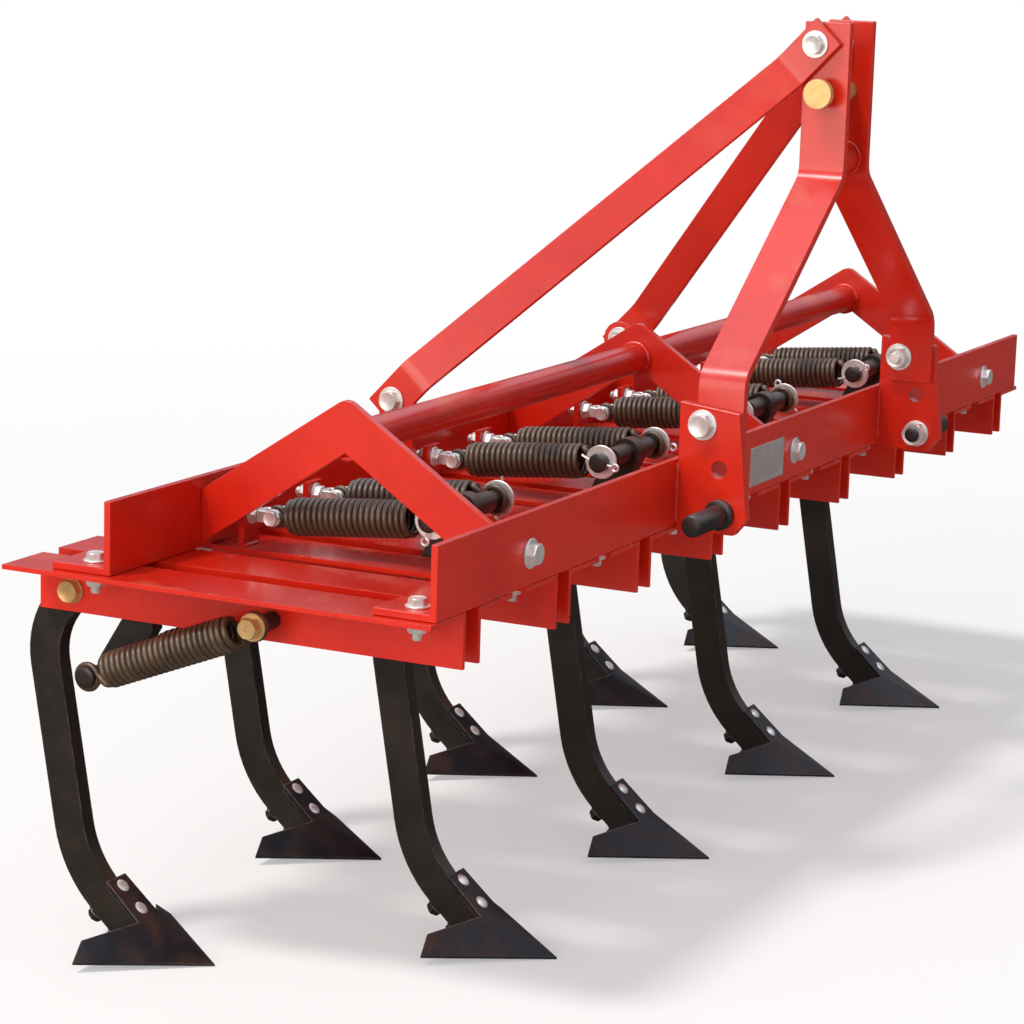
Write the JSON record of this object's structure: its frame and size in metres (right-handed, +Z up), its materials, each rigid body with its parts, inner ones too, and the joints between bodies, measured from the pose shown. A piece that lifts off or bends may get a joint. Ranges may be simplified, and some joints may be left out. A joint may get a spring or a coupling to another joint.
{
  "type": "spring tine cultivator",
  "caption": "Tractor-mounted cultivator: two cross bars, paired-angle holders and curved tines with shovels, each pivoted and held by a pair of tension springs.",
  "frame": {"origin": "centre of the bounding box, on the ground under the shovels", "axes": "+X along the bars, to the right seen from behind the tractor; -Y forwards, to the tractor; +Z up"},
  "size_m": [2.14, 0.7298, 1.1334],
  "materials": {
    "red_paint": "gloss red enamel, dusty, chipped at edges",
    "dark_steel": "thin dark brown-black paint on hot-rolled steel, scuffed",
    "blued_steel": "forged and hardened, dark blue-grey scale, worn bright at the tips",
    "spring_steel": "dark close-wound spring wire, slightly oily",
    "zinc": "yellowish zinc plating"
  },
  "bodies": {
    "frame": {"arch_bracket_centre": "red_paint", "arch_bracket_left": "red_paint", "arch_bracket_right": "red_paint", "brace_pipe": "red_paint", "front_bar": "red_paint", "hitch_plate_left": "red_paint", "hitch_plate_right": "red_paint", "mast_leg_left": "red_paint", "mast_leg_right": "red_paint", "mast_spacer": "red_paint", "rear_bar": "red_paint", "spring_1_left": "spring_steel", "spring_1_right": "spring_steel", "spring_2_left": "spring_steel", "spring_2_right": "spring_steel", "spring_3_left": "spring_steel", "spring_3_right": "spring_steel", "spring_4_left": "spring_steel", "spring_4_right": "spring_steel", "spring_5_left": "spring_steel", "spring_5_right": "spring_steel", "spring_6_left": "spring_steel", "spring_6_right": "spring_steel", "spring_7_left": "spring_steel", "spring_7_right": "spring_steel", "spring_8_left": "spring_steel", "spring_8_right": "spring_steel", "spring_9_left": "spring_steel", "spring_9_right": "spring_steel", "stay_left": "red_paint", "stay_right": "red_paint", "tine_holder_1": "red_paint", "tine_holder_2": "red_paint", "tine_holder_3": "red_paint", "tine_holder_4": "red_paint", "tine_holder_5": "red_paint", "tine_holder_6": "red_paint", "tine_holder_7": "red_paint", "tine_holder_8": "red_paint", "tine_holder_9": "red_paint", "top_link_pin": "zinc"},
    "tine_1_body": {"tine_1": "dark_steel", "shovel_1": "blued_steel"},
    "tine_2_body": {"tine_2": "dark_steel", "shovel_2": "blued_steel"},
    "tine_3_body": {"tine_3": "dark_steel", "shovel_3": "blued_steel"},
    "tine_4_body": {"tine_4": "dark_steel", "shovel_4": "blued_steel"},
    "tine_5_body": {"tine_5": "dark_steel", "shovel_5": "blued_steel"},
    "tine_6_body": {"tine_6": "dark_steel", "shovel_6": "blued_steel"},
    "tine_7_body": {"tine_7": "dark_steel", "shovel_7": "blued_steel"},
    "tine_8_body": {"tine_8": "dark_steel", "shovel_8": "blued_steel"},
    "tine_9_body": {"tine_9": "dark_steel", "shovel_9": "blued_steel"}
  },
  "joints": [
    {"name": "tine_1_trip", "type": "hinge", "parent": "frame", "child": "tine_1_body", "pos_m": [-0.96, 0.26299, 0.44707], "axis": [1, 0, 0], "range_deg": [0, 20], "stiffness_Nm_per_rad": 600, "springref_deg": -28.65, "deforming": ["spring_1_left", "spring_1_right"]},
    {"name": "tine_2_trip", "type": "hinge", "parent": "frame", "child": "tine_2_body", "pos_m": [-0.72, -0.08201, 0.44707], "axis": [1, 0, 0], "range_deg": [0, 20], "stiffness_Nm_per_rad": 600, "springref_deg": -28.65, "deforming": ["spring_2_left", "spring_2_right"]},
    {"name": "tine_3_trip", "type": "hinge", "parent": "frame", "child": "tine_3_body", "pos_m": [-0.48, 0.29599, 0.44707], "axis": [1, 0, 0], "range_deg": [0, 20], "stiffness_Nm_per_rad": 600, "springref_deg": -28.65, "deforming": ["spring_3_left", "spring_3_right"]},
    {"name": "tine_4_trip", "type": "hinge", "parent": "frame", "child": "tine_4_body", "pos_m": [-0.24, -0.08201, 0.44707], "axis": [1, 0, 0], "range_deg": [0, 20], "stiffness_Nm_per_rad": 600, "springref_deg": -28.65, "deforming": ["spring_4_left", "spring_4_right"]},
    {"name": "tine_5_trip", "type": "hinge", "parent": "frame", "child": "tine_5_body", "pos_m": [0, 0.29599, 0.44707], "axis": [1, 0, 0], "range_deg": [0, 20], "stiffness_Nm_per_rad": 600, "springref_deg": -28.65, "deforming": ["spring_5_left", "spring_5_right"]},
    {"name": "tine_6_trip", "type": "hinge", "parent": "frame", "child": "tine_6_body", "pos_m": [0.24, -0.08201, 0.44707], "axis": [1, 0, 0], "range_deg": [0, 20], "stiffness_Nm_per_rad": 600, "springref_deg": -28.65, "deforming": ["spring_6_left", "spring_6_right"]},
    {"name": "tine_7_trip", "type": "hinge", "parent": "frame", "child": "tine_7_body", "pos_m": [0.48, 0.29599, 0.44707], "axis": [1, 0, 0], "range_deg": [0, 20], "stiffness_Nm_per_rad": 600, "springref_deg": -28.65, "deforming": ["spring_7_left", "spring_7_right"]},
    {"name": "tine_8_trip", "type": "hinge", "parent": "frame", "child": "tine_8_body", "pos_m": [0.72, -0.08201, 0.44707], "axis": [1, 0, 0], "range_deg": [0, 20], "stiffness_Nm_per_rad": 600, "springref_deg": -28.65, "deforming": ["spring_8_left", "spring_8_right"]},
    {"name": "tine_9_trip", "type": "hinge", "parent": "frame", "child": "tine_9_body", "pos_m": [0.96, 0.29599, 0.44707], "axis": [1, 0, 0], "range_deg": [0, 20], "stiffness_Nm_per_rad": 600, "springref_deg": -28.65, "deforming": ["spring_9_left", "spring_9_right"]}
  ]
}
